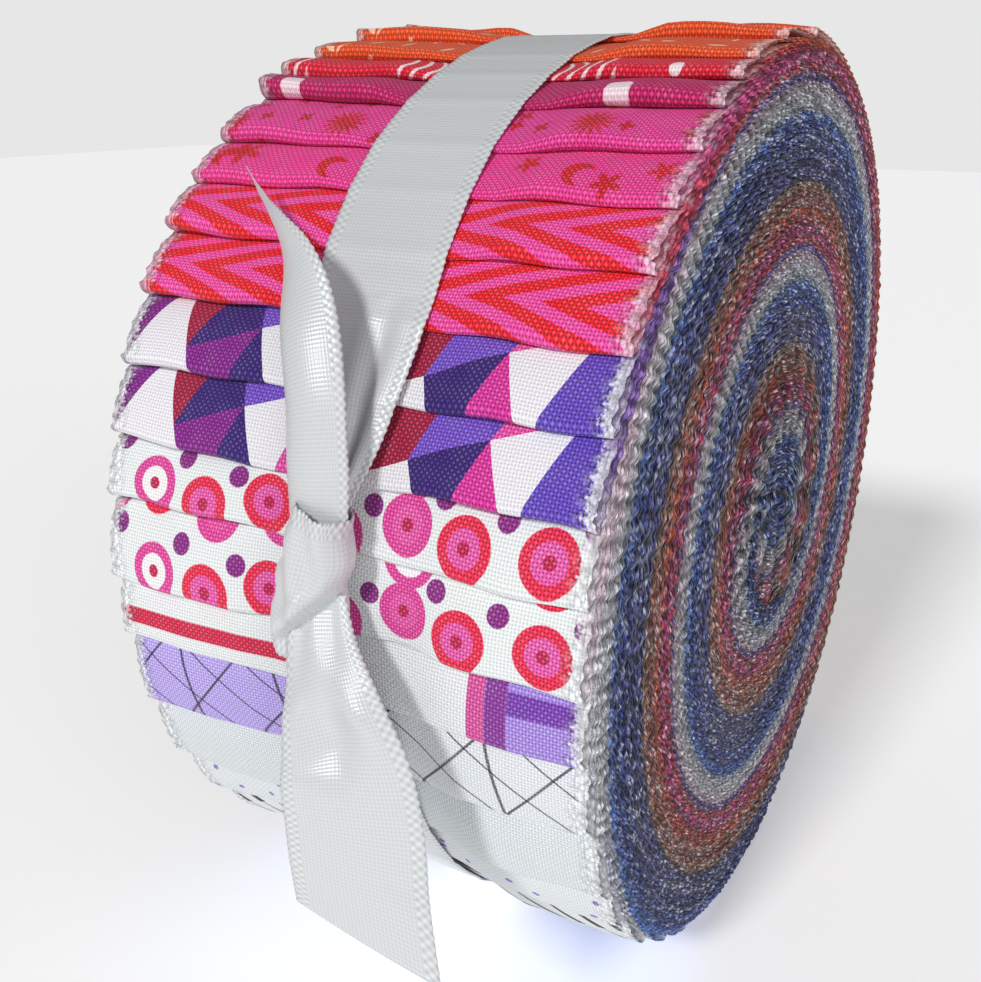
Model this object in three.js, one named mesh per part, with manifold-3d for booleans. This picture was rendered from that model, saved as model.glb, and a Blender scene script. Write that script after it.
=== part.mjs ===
// A roll of quilting fabric strips, standing on its rim and tied round the middle with a ribbon.
// Millimetres, +Z up. The roll's axis runs along X, and the ribbon's knot faces -Y.
// The origin is under the middle of the roll's box, on the surface that it stands on.

import * as THREE from "three";
import * as BufferGeometryUtils from "three/addons/utils/BufferGeometryUtils.js";
import Module from "manifold-3d";

// The strips: 2 1/2 inch wide, rolled up as one stack
const stripWidth = 63.5;
const rollRadius = 60;
const stackThickness = 20; // of all the folded strips, so also the pitch of the spiral on the ends
const rimRadius = 3; // the outer strips are set back this far at the ends
const spiralDepth = 0.7; // of the trough between two turns of the stack
const flatDepth = 1; // how far the roll's weight presses its rim in

// The folded ends of the strips overlap like shingles round the rim. lift is the angle above the
// horizontal at the front, over the top. Each stretch of the rim has its own spacing.
const foldStretches = [
  { stretch: "back, dark strips", fromLift: 240, toLift: 152, folds: 10 },
  { stretch: "back, pale strips", fromLift: 152, toLift: 104, folds: 6 },
  { stretch: "top, orange strips", fromLift: 104, toLift: 72, folds: 3 },
  { stretch: "upper front, red and pink strips", fromLift: 72, toLift: 46, folds: 4 },
  { stretch: "front, pink and patched strips", fromLift: 46, toLift: 15, folds: 4 },
  { stretch: "lower front, white strips", fromLift: 15, toLift: -29, folds: 5 },
  { stretch: "underside, white and blue strips", fromLift: -29, toLift: -120, folds: 8 },
];
const footDepth = 0.85; // how deep a strip lies where it comes out from under the next one
const crestHeight = 0.4; // how far its folded end stands proud
const crestVariation = 0.2;

// The ribbon: satin, tied tight, so it presses a shallow groove into the roll
const ribbonWidth = 15;
const ribbonThickness = 1;
const ribbonCentre = 0.9; // its place along the axis
const ribbonSink = 0.9; // its inner face below the roll's mean radius
const clearance = 0.5; // between the ribbon and the roll
const grooveSlope = 1.3; // how far the groove's side walls lean out
const knotLift = 5.3;
const knotSpan = 34; // how far from the knot, in degrees, the ribbon starts to gather
const gatheredWidth = 6.5; // of the ribbon where it runs into the knot

const axisHeight = rollRadius - flatDepth;

// Steps of the meshes
const capRings = 6;
const ribbonSections = 72;
const sectionsPerRow = 2;

const radians = THREE.MathUtils.degToRad;
const lerp = THREE.MathUtils.lerp;
const smoothstep = THREE.MathUtils.smoothstep;

// A point at an angle on the roll, and no lower than a level
function onRoll(x, lift, radius, level = -Infinity) {
  const angle = radians(lift);
  const z = axisHeight + radius * Math.sin(angle);
  return new THREE.Vector3(x, -radius * Math.cos(angle), Math.max(z, level));
}

// Closed rings of points joined in order. The first and last are closed by a fan to a pole, or as the
// section of a thin sheet, or joined to each other.
function skin(rings, closing, poles = []) {
  const count = rings[0].length;
  const points = rings.flat();
  const faces = [];
  const joined = closing === "loop" ? rings.length : rings.length - 1;
  for (let i = 0; i < joined; i++) {
    const here = i * count;
    const there = ((i + 1) % rings.length) * count;
    for (let j = 0; j < count; j++) {
      const k = (j + 1) % count;
      faces.push(here + j, here + k, there + k, here + j, there + k, there + j);
    }
  }
  const last = (rings.length - 1) * count;
  if (closing === "poles") {
    points.push(...poles);
    const start = rings.length * count;
    for (let j = 0; j < count; j++) {
      const k = (j + 1) % count;
      faces.push(start, k, j, start + 1, last + j, last + k);
    }
  }
  if (closing === "sheet") {
    for (let j = 0; j < count / 2 - 1; j++) {
      const back = count - 1 - j;
      faces.push(j, back, back - 1, j, back - 1, j + 1);
      faces.push(last + j, last + back - 1, last + back, last + j, last + j + 1, last + back - 1);
    }
  }
  const geometry = new THREE.BufferGeometry().setFromPoints(points);
  geometry.setIndex(faces);
  return volume(geometry) < 0 ? flipped(geometry) : geometry;
}

function volume(geometry) {
  const position = geometry.getAttribute("position");
  const index = geometry.getIndex().array;
  const corner = (i) => new THREE.Vector3().fromBufferAttribute(position, index[i]);
  let sum = 0;
  for (let i = 0; i < index.length; i += 3) {
    sum += corner(i).dot(corner(i + 1).cross(corner(i + 2))) / 6;
  }
  return sum;
}

function flipped(geometry) {
  geometry.setIndex(Array.from(geometry.getIndex().array).reverse());
  return geometry;
}

// The lift of each folded end, from the outermost strip of the stack to the innermost
function foldLifts() {
  return foldStretches.flatMap(({ fromLift, toLift, folds }) =>
    Array.from({ length: folds }, (_, i) => lerp(fromLift, toLift, (i + 1) / folds)),
  );
}

// The rim as seen from the end: each strip starts low under its neighbour's folded end, and rises to
// its own, which ends in a step
function rimOutline() {
  const lifts = foldLifts();
  return lifts.flatMap((own, i) => {
    const upper = i === 0 ? foldStretches[0].fromLift : lifts[i - 1];
    const crest = crestHeight + crestVariation * Math.sin(2.4 * i);
    return [
      { lift: upper - 0.35, radius: rollRadius - footDepth },
      { lift: lerp(upper, own, 0.5), radius: rollRadius - 0.1 },
      { lift: own + 0.55, radius: rollRadius + crest },
    ];
  });
}

// How wide the ribbon lies at an angle: it gathers towards the knot
function ribbonWidthAt(lift) {
  const away = Math.abs(THREE.MathUtils.euclideanModulo(lift - knotLift + 180, 360) - 180);
  return lerp(gatheredWidth, ribbonWidth, smoothstep(away, knotSpan * 0.2, knotSpan));
}

function rollGeometry() {
  const outline = rimOutline();
  const half = stripWidth / 2;
  const floorRadius = rollRadius - ribbonSink - clearance;
  const floorLevel = ribbonThickness + clearance + 0.15;
  const ring = (place) => outline.map((point) => place(point));

  // The rim's rounded corner, from the end face to the full radius
  const corner = (side, angle) =>
    ring(({ lift, radius }) =>
      onRoll(
        side * (half - rimRadius * (1 - Math.cos(angle))),
        lift,
        radius - rimRadius * (1 - Math.sin(angle)),
        0,
      ),
    );
  const corners = [Math.PI / 4, Math.PI / 2];

  // The groove's wall and floor beside the ribbon
  const grooveTop = (side) =>
    ring(({ lift, radius }) => {
      const edge = ribbonWidthAt(lift) / 2 + clearance + grooveSlope;
      return onRoll(ribbonCentre + side * edge, lift, radius - 0.1, 0);
    });
  const grooveFloor = (side) =>
    ring(({ lift }) => {
      const edge = ribbonWidthAt(lift) / 2 + clearance;
      return onRoll(ribbonCentre + side * edge, lift, floorRadius, floorLevel);
    });

  // An end face: rings towards the middle, sunk between the turns of the spiral
  const capRing = (side, step) =>
    ring(({ lift, radius }) => {
      const share = 1 - step / (capRings + 1);
      const out = share * (radius - rimRadius);
      const turn = out / stackThickness + lift / 360;
      const fade = Math.min(1, step / 1.5);
      const sunk = spiralDepth * fade * (0.5 - 0.5 * Math.cos(2 * Math.PI * turn));
      return onRoll(side * (half - sunk), lift, out, rimRadius * share);
    });
  const cap = (side) => Array.from({ length: capRings + 1 }, (_, step) => capRing(side, step));

  const rings = [
    ...cap(-1).reverse(),
    ...corners.map((angle) => corner(-1, angle)),
    grooveTop(-1),
    grooveFloor(-1),
    grooveFloor(1),
    grooveTop(1),
    ...corners.map((angle) => corner(1, angle)).reverse(),
    ...cap(1),
  ];
  const pole = (side) => onRoll(side * (half - spiralDepth / 2), 0, 0);
  return skin(rings, "poles", [pole(-1), pole(1)]);
}

// The two free ends. x is the place along the axis, lift and proud say where the middle of the ribbon
// is, width is its own width there, cup the angle that it curls through, turn how far it is turned
// about its length, and skew how far its right edge runs ahead of its left.
const upperEnd = [
  { x: 2.0, lift: 8.0, proud: 4.4, width: 9.0, cup: 60, turn: 0, skew: 0 },
  { x: 1.0, lift: 16.5, proud: 5.2, width: 11.0, cup: 110, turn: 10, skew: 0 },
  { x: -0.7, lift: 22.5, proud: 5.6, width: 12.0, cup: 120, turn: 15, skew: 0 },
  { x: -3.2, lift: 28.0, proud: 5.8, width: 12.0, cup: 110, turn: 25, skew: 0 },
  { x: -6.4, lift: 33.0, proud: 5.8, width: 10.0, cup: 90, turn: 40, skew: 0 },
  { x: -10.6, lift: 37.8, proud: 5.4, width: 6.5, cup: 60, turn: 60, skew: 0 },
  { x: -14.6, lift: 41.4, proud: 5.0, width: 3.4, cup: 30, turn: 75, skew: 0 },
  { x: -18.4, lift: 44.6, proud: 4.8, width: 1.2, cup: 10, turn: 80, skew: 0 },
];
// The lower end hangs, so drop is the height below the knot's middle and out the distance from the axis
const lowerEnd = [
  { x: 1.2, drop: 3.0, out: 63.2, width: 8.5, cup: 40, turn: 0, skew: 0 },
  { x: 1.6, drop: 9.0, out: 65.6, width: 10.5, cup: 50, turn: -4, skew: 0 },
  { x: 3.6, drop: 14.0, out: 66.8, width: 14.0, cup: 45, turn: -8, skew: 0 },
  { x: 5.4, drop: 20.0, out: 67.6, width: 15.0, cup: 20, turn: -12, skew: 0.5 },
  { x: 6.8, drop: 27.0, out: 68.6, width: 15.0, cup: 10, turn: -14, skew: 1.5 },
  { x: 8.6, drop: 36.5, out: 70.0, width: 15.0, cup: 8, turn: -16, skew: 9.0 },
];

// A value from a table between its rows, on a smooth curve
function between(rows, column, place) {
  const i = Math.min(Math.floor(place), rows.length - 2);
  const value = (k) => rows[THREE.MathUtils.clamp(k, 0, rows.length - 1)][column];
  const t = place - i;
  const [before, start, end, after] = [value(i - 1), value(i), value(i + 1), value(i + 2)];
  const leaving = (end - before) / 2;
  const arriving = (after - start) / 2;
  const rise = end - start;
  return (
    start + leaving * t + (3 * rise - 2 * leaving - arriving) * t * t +
    (leaving + arriving - 2 * rise) * t * t * t
  );
}

const middleOf = {
  upper: (rows, place) => {
    const lift = between(rows, "lift", place);
    return onRoll(between(rows, "x", place), lift, rollRadius + between(rows, "proud", place));
  },
  lower: (rows, place) => {
    const knotHeight = axisHeight + rollRadius * Math.sin(radians(knotLift));
    const height = knotHeight - between(rows, "drop", place);
    return new THREE.Vector3(between(rows, "x", place), -between(rows, "out", place), height);
  },
};

// A free end of the ribbon: its section is an arc across, carried along the middle line
function endGeometry(rows, middle) {
  const acrossPoints = 6;
  const steps = (rows.length - 1) * sectionsPerRow;
  const rings = [];
  for (let i = 0; i <= steps; i++) {
    const place = i / sectionsPerRow;
    const centre = middle(rows, place);
    const step = 0.05;
    const ahead = middle(rows, Math.min(place + step, rows.length - 1));
    const behind = middle(rows, Math.max(place - step, 0));
    const along = ahead.sub(behind).normalize();
    const radial = new THREE.Vector3(0, centre.y, centre.z - axisHeight);
    const outward = radial.addScaledVector(along, -radial.dot(along)).normalize();
    const rightward = new THREE.Vector3().crossVectors(along, outward);
    if (rightward.x < 0) rightward.negate();
    const turn = radians(between(rows, "turn", place));
    const side = rightward.clone().multiplyScalar(Math.cos(turn)).addScaledVector(outward, Math.sin(turn));
    const out = outward.clone().multiplyScalar(Math.cos(turn)).addScaledVector(rightward, -Math.sin(turn));
    const width = between(rows, "width", place);
    const cup = radians(between(rows, "cup", place));
    const skew = between(rows, "skew", place);
    const curl = width / cup;
    const sheet = (height) =>
      Array.from({ length: acrossPoints }, (_, k) => {
        const share = k / (acrossPoints - 1) - 0.5;
        const angle = share * cup;
        return centre
          .clone()
          .addScaledVector(side, (curl + height) * Math.sin(angle))
          .addScaledVector(out, (curl + height) * Math.cos(angle) - curl * Math.cos(cup / 3))
          .addScaledVector(along, skew * share);
      });
    rings.push([...sheet(ribbonThickness / 2), ...sheet(-ribbonThickness / 2).reverse()]);
  }
  return skin(rings, "sheet");
}

// The band round the roll, flat where the roll stands on it
function bandGeometry() {
  const inner = rollRadius - ribbonSink;
  const outer = inner + ribbonThickness;
  const level = 0.15;
  const rings = Array.from({ length: ribbonSections }, (_, i) => {
    const lift = (i * 360) / ribbonSections;
    const half = ribbonWidthAt(lift) / 2;
    return [
      onRoll(ribbonCentre - half, lift, inner, level + ribbonThickness),
      onRoll(ribbonCentre + half, lift, inner, level + ribbonThickness),
      onRoll(ribbonCentre + half, lift, outer, level),
      onRoll(ribbonCentre - half, lift, outer, level),
    ];
  });
  return skin(rings, "loop");
}

// The knot: the ribbon wrapped once round itself, gathered to a lobed oval that leans to the left below
function knotGeometry() {
  const half = { x: 5.0, y: 3.4, z: 9.0 };
  const lean = radians(6);
  const geometry = new THREE.SphereGeometry(1, 20, 14);
  geometry.rotateX(Math.PI / 2);
  const position = geometry.getAttribute("position");
  for (let i = 0; i < position.count; i++) {
    const lobes = 1 + 0.06 * Math.cos(2.5 * Math.PI * position.getZ(i));
    position.setX(i, position.getX(i) * lobes);
  }
  geometry.scale(half.x, half.y, half.z);
  geometry.rotateY(lean);
  const centre = onRoll(1.3, knotLift, rollRadius + 2.9);
  return geometry.translate(centre.x, centre.y, centre.z);
}

const wasm = await Module();
wasm.setup();

function solid(geometry) {
  const bare = geometry.clone();
  bare.deleteAttribute("normal");
  bare.deleteAttribute("uv");
  const merged = BufferGeometryUtils.mergeVertices(bare, 1e-4);
  const vertProperties = new Float32Array(merged.getAttribute("position").array);
  const triVerts = new Uint32Array(merged.getIndex().array);
  return new wasm.Manifold(new wasm.Mesh({ numProp: 3, vertProperties, triVerts }));
}

function ribbonGeometry() {
  const pieces = [
    bandGeometry(),
    knotGeometry(),
    endGeometry(upperEnd, middleOf.upper),
    endGeometry(lowerEnd, middleOf.lower),
  ];
  const mesh = pieces.map(solid).reduce((whole, piece) => whole.add(piece)).getMesh();
  const geometry = new THREE.BufferGeometry();
  geometry.setAttribute("position", new THREE.Float32BufferAttribute(mesh.vertProperties, 3));
  geometry.setIndex(Array.from(mesh.triVerts));
  return geometry;
}

function named(name, geometry, color, roughness) {
  geometry.computeVertexNormals();
  const material = new THREE.MeshStandardMaterial({ color, roughness, metalness: 0 });
  const mesh = new THREE.Mesh(geometry, material);
  mesh.name = name;
  return mesh;
}

const part = new THREE.Group();
part.add(named("roll", rollGeometry(), "#c8508f", 0.9));
part.add(named("ribbon", ribbonGeometry(), "#e9e6ea", 0.4));

// The origin is brought under the middle of the box
const box = new THREE.Box3().setFromObject(part);
const middle = box.getCenter(new THREE.Vector3());
part.position.set(-middle.x, -middle.y, -box.min.z);
part.updateMatrixWorld(true);

export default part;
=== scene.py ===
"""A roll of quilting fabric strips, tied round the middle with a satin ribbon.

Forty cotton strips, each folded end to end, lie in one stack that is rolled up from its loose ends,
so that the folds come out one after another round the rim like shingles. The strips' long sides are
pinked, and their teeth make both end faces. Lengths are in millimetres until a mesh is made.
"""

import math
from types import SimpleNamespace

import bpy
import numpy as np
from mathutils import Matrix, Vector


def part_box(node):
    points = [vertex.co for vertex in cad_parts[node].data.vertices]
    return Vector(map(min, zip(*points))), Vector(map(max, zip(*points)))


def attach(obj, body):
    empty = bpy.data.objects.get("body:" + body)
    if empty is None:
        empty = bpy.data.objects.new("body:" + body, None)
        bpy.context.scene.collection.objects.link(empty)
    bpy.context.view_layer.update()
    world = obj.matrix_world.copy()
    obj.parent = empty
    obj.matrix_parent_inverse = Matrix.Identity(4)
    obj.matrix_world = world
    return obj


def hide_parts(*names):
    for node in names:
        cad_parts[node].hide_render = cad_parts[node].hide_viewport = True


bl_info = {
    "name": "Roll of quilting fabric strips",
    "version": (1, 0, 0),
    "blender": (4, 5, 0),
    "location": "3D View > Sidebar > Fabric roll",
    "description": "Makes a tied roll of pinked cotton strips and its stage",
    "category": "Object",
}

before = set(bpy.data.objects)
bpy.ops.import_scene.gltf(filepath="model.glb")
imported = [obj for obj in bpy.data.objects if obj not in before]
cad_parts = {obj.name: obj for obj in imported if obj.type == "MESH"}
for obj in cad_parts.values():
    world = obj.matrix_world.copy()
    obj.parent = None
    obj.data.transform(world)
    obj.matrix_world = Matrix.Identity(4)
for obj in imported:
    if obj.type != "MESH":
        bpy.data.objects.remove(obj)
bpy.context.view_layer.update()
MM = 0.001
TURN = 2 * math.pi

HALF_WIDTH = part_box("roll")[1][0] / MM
RIBBON_HALF_WIDTH = 7.5
RADIUS = 60.0
STACK_RADIUS = RADIUS - 0.8  # of the rim under the folds
AXIS_Z = 59.0  # the roll's own weight presses a flat 1 mm deep into its rim
AXIS_Y = 5.264  # the box reaches further forward than back, for the ribbon's knot and ends

# The strips from the outermost of the stack to the innermost: where each one's folded end lies, as the
# angle above the front horizontal, over the top, and the print that it is cut from.
STRIPS = [
    (258.0, "navy_dots"), (254.5, "navy_lines"), (251.0, "ink_stars"), (247.5, "navy_plain"),
    (244.0, "navy_lines"), (240.5, "indigo_dots"), (237.0, "ink_stars"), (233.5, "navy_plain"),
    (230.0, "indigo_dots"), (226.5, "violet_dots"),
    (218.0, "tan_dots"), (207.0, "cream_lines"), (192.0, "rust_dots"), (173.0, "rust_plain"),
    (152.0, "rust_dots"), (124.0, "cream_lines"),
    (93.0, "orange_specks"), (82.5, "orange_specks"), (72.2, "orange_specks"),
    (66.3, "red_arcs"), (60.4, "magenta_squares"), (52.7, "pink_bursts"), (46.1, "pink_moons"),
    (38.9, "chevrons"), (31.2, "chevrons"), (23.3, "patches"), (15.0, "patches"),
    (8.1, "ringed_dots"), (-1.1, "ringed_dots"), (-8.9, "check_bars"), (-18.5, "crossing_lines"),
    (-28.8, "grey_white"), (-38.0, "purple_specks"), (-48.0, "black_strokes"),
    (-57.0, "light_blue"), (-67.0, "light_blue"), (-76.0, "blue_dots"), (-85.0, "blue_plain"),
    (-93.0, "blue_lines"), (-101.0, "blue_dots"),
]
STACK_END = 265.0  # angle up to which the outermost strip's fold stands off
LAYERS = 2 * len(STRIPS)
FINE_COLUMNS = 26  # of points across the part of a strip that shows
FINE_ROWS = 0.36  # millimetres from row to row near a fold
PAST_BAND = 5.0  # millimetres that the fine rows go on under the next strip


def length(name, description, millimetres, **limits):
    """A property for a length, which is given in millimetres."""
    return bpy.props.FloatProperty(
        name=name, description=description, default=millimetres * MM, unit="LENGTH", precision=5, **limits
    )


def angle(name, description, degrees):
    """A property for an angle, which is given in degrees."""
    return bpy.props.FloatProperty(
        name=name, description=description, default=math.radians(degrees), subtype="ANGLE"
    )


def linear(colour):
    """The linear value of an sRGB hex colour."""
    parts = np.array([int(colour[k : k + 2], 16) for k in (1, 3, 5)]) / 255
    parts = np.where(parts <= 0.04045, parts / 12.92, ((parts + 0.055) / 1.055) ** 2.4)
    return (*parts.tolist(), 1.0)


def tint(name, description, colour):
    """A property for a colour, which is given as an sRGB hex value."""
    return bpy.props.FloatVectorProperty(
        name=name, description=description, default=linear(colour)[:3], subtype="COLOR", min=0.0, max=1.0
    )


class RollSettings(bpy.types.PropertyGroup):
    """Sizes of the strips and of the roll that they make"""

    cloth: length("Cloth thickness", "Of one layer of quilting cotton", 0.265)
    pitch: length("Stack thickness", "Of all the strips, so the spiral's pitch", 20.5)
    tooth_pitch: length("Tooth spacing", "Of the pinked edge, along the stack's middle", 2.0)
    tooth_depth: length("Tooth depth", "Of the pinked edge", 0.32)
    start_lift: angle("Start", "Where the stack's inner end lies", 200)
    core_radius: length("Core radius", "Of the innermost strips, curled on themselves", 4.6)
    off_centre: length("Off centre", "The winding's eye away from the middle", 4.5)
    bulge: length("Fold height", "How far a folded end stands off the layer below", 1.45)
    setback: length("Set-back", "Of the outermost strips' edges from the end faces", 2.4)
    ragged: length("Raggedness", "Unevenness of the cut edge", 0.055)
    seed: bpy.props.IntProperty(name="Seed", description="Of the small unevenness", default=7)


def in_millimetres(settings):
    """The settings as plain values, with the lengths in millimetres."""
    values = {}
    for name in settings.__annotations__:
        value = getattr(settings, name)
        is_length = getattr(settings.bl_rna.properties[name], "unit", "NONE") == "LENGTH"
        values[name] = value / MM if is_length else value
    return SimpleNamespace(**values)


class StageSettings(bpy.types.PropertyGroup):
    """Floor colour and camera"""

    floor: tint("Floor", "Colour of the surface", "#f6f6f6")
    eye: bpy.props.FloatVectorProperty(
        name="Camera", description="Its place", subtype="TRANSLATION", unit="LENGTH",
        default=(0.069, -0.1443 + AXIS_Y * MM, 0.054 + AXIS_Z * MM),
    )
    yaw: angle("Yaw", "Camera's turn to the left", 29.5)
    pitch: angle("Tilt", "Camera's look down", 19.9)


def mesh_object(name, points, faces, materials, slots=None):
    """A mesh object of points in millimetres, an (n, 3) array, and faces, a list of (m, k) index arrays."""
    mesh = bpy.data.meshes.new(name)
    sizes = np.concatenate([np.full(len(f), f.shape[1]) for f in faces])
    corners = np.concatenate([f.ravel() for f in faces]).astype(np.int32)
    mesh.vertices.add(len(points))
    mesh.vertices.foreach_set("co", (points * MM).astype(np.float32).ravel())
    mesh.loops.add(len(corners))
    mesh.loops.foreach_set("vertex_index", corners)
    mesh.polygons.add(len(sizes))
    starts = np.concatenate([[0], np.cumsum(sizes)[:-1]]).astype(np.int32)
    mesh.polygons.foreach_set("loop_start", starts)
    if slots is not None:
        mesh.polygons.foreach_set("material_index", slots.astype(np.int32))
    mesh.update(calc_edges=True)
    mesh.validate()
    mesh.polygons.foreach_set("use_smooth", np.ones(len(mesh.polygons), bool))
    for material in materials:
        mesh.materials.append(material)
    obj = bpy.data.objects.new(name, mesh)
    bpy.context.scene.collection.objects.link(obj)
    return obj


def give_uv(obj, u, v):
    """Puts the surface's own coordinates, in millimetres at each point, in the UV map "cloth"."""
    mesh = obj.data
    index = np.zeros(len(mesh.loops), np.int32)
    mesh.loops.foreach_get("vertex_index", index)
    layer = mesh.uv_layers.new(name="cloth")
    layer.data.foreach_set("uv", np.stack([u[index], v[index]], axis=1).astype(np.float32).ravel())


def give_number(obj, name, values):
    """Puts a number at each point in a named attribute."""
    obj.data.attributes.new(name, "FLOAT", "POINT").data.foreach_set("value", values.astype(np.float32))


def grid_faces(rows, columns, first=0):
    """Quads of a grid of points that is stored row by row."""
    corner = first + np.arange(rows - 1)[:, None] * columns + np.arange(columns - 1)[None, :]
    corner = corner.ravel()
    return np.stack([corner, corner + columns, corner + columns + 1, corner + 1], axis=1)


def smooth(value, low, high):
    """0 up to low and 1 from high, on a smooth S between them."""
    t = np.clip((value - low) / (high - low), 0, 1)
    return t * t * (3 - 2 * t)


class Winding:
    """The spiral that the stack is wound on, about the winding's eye.

    turns counts from the stack's inner end outwards. The stack's inner face is at
    core + pitch * (turns - shift * (1 - cos(turns))) from the eye: a plain spiral, whose rings are
    centred off the eye. Further in than the end, the innermost layers go on curling at their own pitch.
    Where the stack's inner end presses into the turns round it, their faces are pressed outwards.
    """

    def __init__(self, settings):
        self.settings = settings
        self.shift = settings.off_centre / settings.pitch
        self.layer = settings.pitch / LAYERS
        self.curled_layers = 10
        self.start = settings.start_lift
        away = np.array([-math.cos(self.start), math.sin(self.start)])
        self.eye = -settings.off_centre * away + np.array([0.6, 0.3])
        turns = np.linspace(-2, 4.2, 8000)
        away = self.distance(turns, 6 + (LAYERS / 2 - 6) * smooth(turns, -0.3, 0.8))
        steps = (away[1:] + away[:-1]) / 2 * TURN * np.diff(turns)
        self.middle_line = turns, np.concatenate([[0], np.cumsum(steps)])
        lifts = np.radians([lift for lift, _ in STRIPS])
        wanted = np.unwrap(lifts)
        found = [self.fold_place(i, lift)[1] for i, lift in enumerate(lifts)]
        order = np.argsort(wanted)
        self.rim_lifts = wanted[order]
        self.rim_scale = STACK_RADIUS / np.array(found)[order]

    def inner_face(self, turns):
        """Distance of the stack's inner face from the eye."""
        s = self.settings
        curled = s.core_radius + self.curled_layers * self.layer * turns
        wound = s.core_radius + s.pitch * (turns - self.shift * (1 - np.cos(TURN * turns)))
        press = sum(
            depth * np.exp(-(((turns - place) / 0.12) ** 2)) for depth, place in ((2.2, 0.82), (1.2, 1.82))
        )
        gap = curled - wound + press
        return (curled + wound - press + np.sqrt(gap * gap + 0.36)) / 2

    def distance(self, turns, layer):
        """Distance of a layer from the eye; the layers share the room between two faces of the stack."""
        outside = np.maximum(turns, 0)
        room = (self.inner_face(outside + 1) - self.inner_face(outside)) / LAYERS
        return self.inner_face(turns) + (layer + 0.5) * room

    def first_turn(self, layer):
        """Where a layer's inner end lies: the outer the layer, the nearer to the stack's end. It is as far
        in as there is room for it under the turn outside it, but no further than its share allows."""
        if layer < self.curled_layers:
            return -1.75 + 0.02 * layer
        turns = np.linspace(-0.98, 0, 500)
        room = self.inner_face(turns) + (layer + 1) * self.layer <= self.inner_face(turns + 1) + 0.3
        blocked = np.flatnonzero(~room)
        fits = turns[blocked[-1] + 1] if len(blocked) and blocked[-1] < len(turns) - 1 else 0.0
        share = layer / LAYERS
        return max(fits, -0.05 - 0.9 * (1 - share) ** 2)

    def raw(self, turns, layer):
        """Points of a layer about the roll's axis, as (lift, radius), before the rim is trued up."""
        lift = self.start - TURN * turns
        away = self.distance(turns, layer)
        y = self.eye[0] - away * np.cos(lift)
        z = self.eye[1] + away * np.sin(lift)
        return np.unwrap(np.arctan2(z, -y)), np.hypot(y, z)

    def fold_place(self, strip, lift):
        """(turns, radius) where a strip's outer layer reaches its fold."""
        turns = np.linspace(1.2, 3.6, 2400)
        at, radius = self.raw(turns, LAYERS - 1 - 2 * strip)
        off = np.abs((at - lift + math.pi) % TURN - math.pi)
        near = np.flatnonzero((off[1:-1] <= off[:-2]) & (off[1:-1] <= off[2:])) + 1
        best = near[np.argmin(np.abs(radius[near] - STACK_RADIUS))]
        return turns[best], radius[best]

    def trued(self, lift, radius):
        """Radius with the outer turns scaled so that every fold comes out on the rim's circle: the scale
        is taken between the folds on either side, and grows with the cube of the radius."""
        scale = np.interp(lift, self.rim_lifts, self.rim_scale, period=TURN)
        return radius * (1 + (scale - 1) * (radius / RADIUS) ** 3)

    def path(self, strip, layer, fold_lift):
        """A layer's line from its inner end to the fold: arc length from the stack's end, lift, radius
        and length along the middle line, by which the teeth of all the layers are in step."""
        end, _ = self.fold_place(strip, fold_lift)
        turns = np.linspace(self.first_turn(layer), end + 0.01, 5000)
        lift, radius = self.raw(turns, layer)
        radius = self.trued(lift, radius)
        y = -radius * np.cos(lift)
        z = radius * np.sin(lift)
        length = np.concatenate([[0], np.cumsum(np.hypot(np.diff(y), np.diff(z)))])
        length -= np.interp(0.0, turns, length)
        return length, lift, radius, np.interp(turns, *self.middle_line)


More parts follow.
